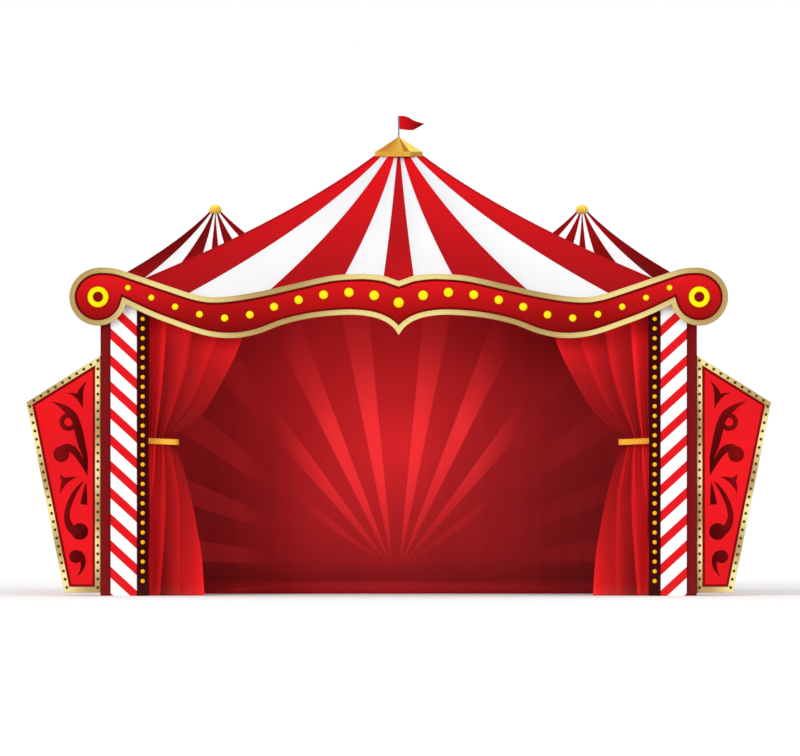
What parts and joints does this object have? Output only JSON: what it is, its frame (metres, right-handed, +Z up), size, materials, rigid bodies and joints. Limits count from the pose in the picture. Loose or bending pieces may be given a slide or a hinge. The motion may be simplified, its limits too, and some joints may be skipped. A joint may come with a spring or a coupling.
{
  "type": "circus big top tent",
  "caption": "Striped circus tent with a curtained fairground stage front, painted wings, a lamp-lit show board and two pavilions behind.",
  "frame": {"origin": "on the ground under the middle of the plan's bounding box", "axes": "+X to the right as the stage front is seen, +Y towards the back, +Z up; the stage front faces -Y"},
  "size_m": [8.94, 7.4204, 5.759],
  "materials": {
    "painted_red": "gloss paint on plywood",
    "painted_deep_red": "satin paint on timber",
    "painted_stripes": "gloss paint in red and white diagonal stripes on plywood",
    "painted_timber": "painted timber framing",
    "pale_gilt": "pale gold paint on moulding",
    "gilt": "warm gold paint",
    "lamp_yellow": "translucent yellow lamp caps",
    "curtain_velvet": "cotton velvet",
    "back_cloth": "painted canvas back cloth with a sunburst",
    "striped_canvas": "red and white tent canvas",
    "pennant_cloth": "light woven bunting",
    "galvanised_steel": "galvanised tube"
  },
  "bodies": {
    "root": {"show_board": "painted_red", "show_board_rim": "pale_gilt", "scroll_ring_left": "lamp_yellow", "scroll_ring_right": "lamp_yellow", "pillar_left": "painted_deep_red", "pillar_right": "painted_deep_red", "candy_board_left": "painted_stripes", "candy_board_right": "painted_stripes", "lamp_board_left": "painted_deep_red", "lamp_board_right": "painted_deep_red", "wing_frame_left": "pale_gilt", "wing_frame_right": "pale_gilt", "wing_board_left": "painted_red", "wing_board_right": "painted_red", "header_beam": "painted_timber", "curtain_rail": "gilt", "curtain_left": "curtain_velvet", "curtain_right": "curtain_velvet", "tieback_left": "gilt", "tieback_right": "gilt", "backdrop_batten": "painted_timber", "backdrop": "back_cloth", "main_canopy_front": "striped_canvas", "main_canopy_back": "striped_canvas", "main_canopy_left": "striped_canvas", "main_canopy_right": "striped_canvas", "king_pole": "galvanised_steel", "back_beam": "painted_timber", "side_beam_left": "painted_timber", "side_beam_right": "painted_timber", "back_post_left": "painted_timber", "back_post_right": "painted_timber", "side_wall_left": "striped_canvas", "side_wall_right": "striped_canvas", "back_wall": "striped_canvas", "valance_left": "striped_canvas", "valance_right": "striped_canvas", "valance_back": "striped_canvas", "crown_cap": "gilt", "flagpole": "galvanised_steel", "pennant": "pennant_cloth", "tower_canopy_left_front": "striped_canvas", "tower_canopy_left_back": "striped_canvas", "tower_canopy_left_left": "striped_canvas", "tower_canopy_left_right": "striped_canvas", "tower_canopy_right_front": "striped_canvas", "tower_canopy_right_back": "striped_canvas", "tower_canopy_right_left": "striped_canvas", "tower_canopy_right_right": "striped_canvas", "tower_wall_left": "striped_canvas", "tower_wall_right": "striped_canvas", "tower_ring_beam_left": "painted_timber", "tower_ring_beam_right": "painted_timber", "tower_pole_left": "galvanised_steel", "tower_pole_right": "galvanised_steel", "tower_cap_left": "gilt", "tower_cap_right": "gilt"}
  },
  "joints": []
}
